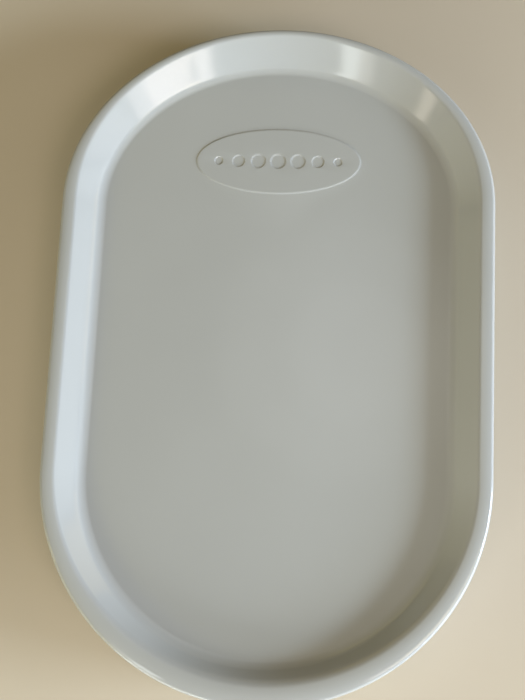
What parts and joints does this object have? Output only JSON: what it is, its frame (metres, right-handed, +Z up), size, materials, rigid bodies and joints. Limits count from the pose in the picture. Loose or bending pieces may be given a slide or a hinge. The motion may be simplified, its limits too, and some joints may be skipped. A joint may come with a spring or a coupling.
{
  "type": "changing mat",
  "caption": "Soft self-skinned foam changing mat: a shallow rounded oblong tray with a sloped inner wall, a wide flat floor and round grip pads underneath.",
  "frame": {"origin": "on the ground under the middle of the mat's length and width, in the plane of the grip pads' undersides", "axes": "+X to the right as seen by someone standing at the foot end, +Y along the length to the head end, where the raised oval is, +Z up out of the hollow"},
  "size_m": [0.454, 0.7, 0.075],
  "materials": {
    "skin": "satin, smooth moulded polyurethane skin",
    "base": "matt, fine moulded texture",
    "foam": "matt open-cell foam",
    "rubber": "matt non-slip rubber"
  },
  "bodies": {
    "root": {"top_skin": "skin", "foam_core": "foam", "base_skin": "base", "grip_pad_head_left": "rubber", "grip_pad_head_right": "rubber", "grip_pad_foot_left": "rubber", "grip_pad_foot_right": "rubber"}
  },
  "joints": []
}
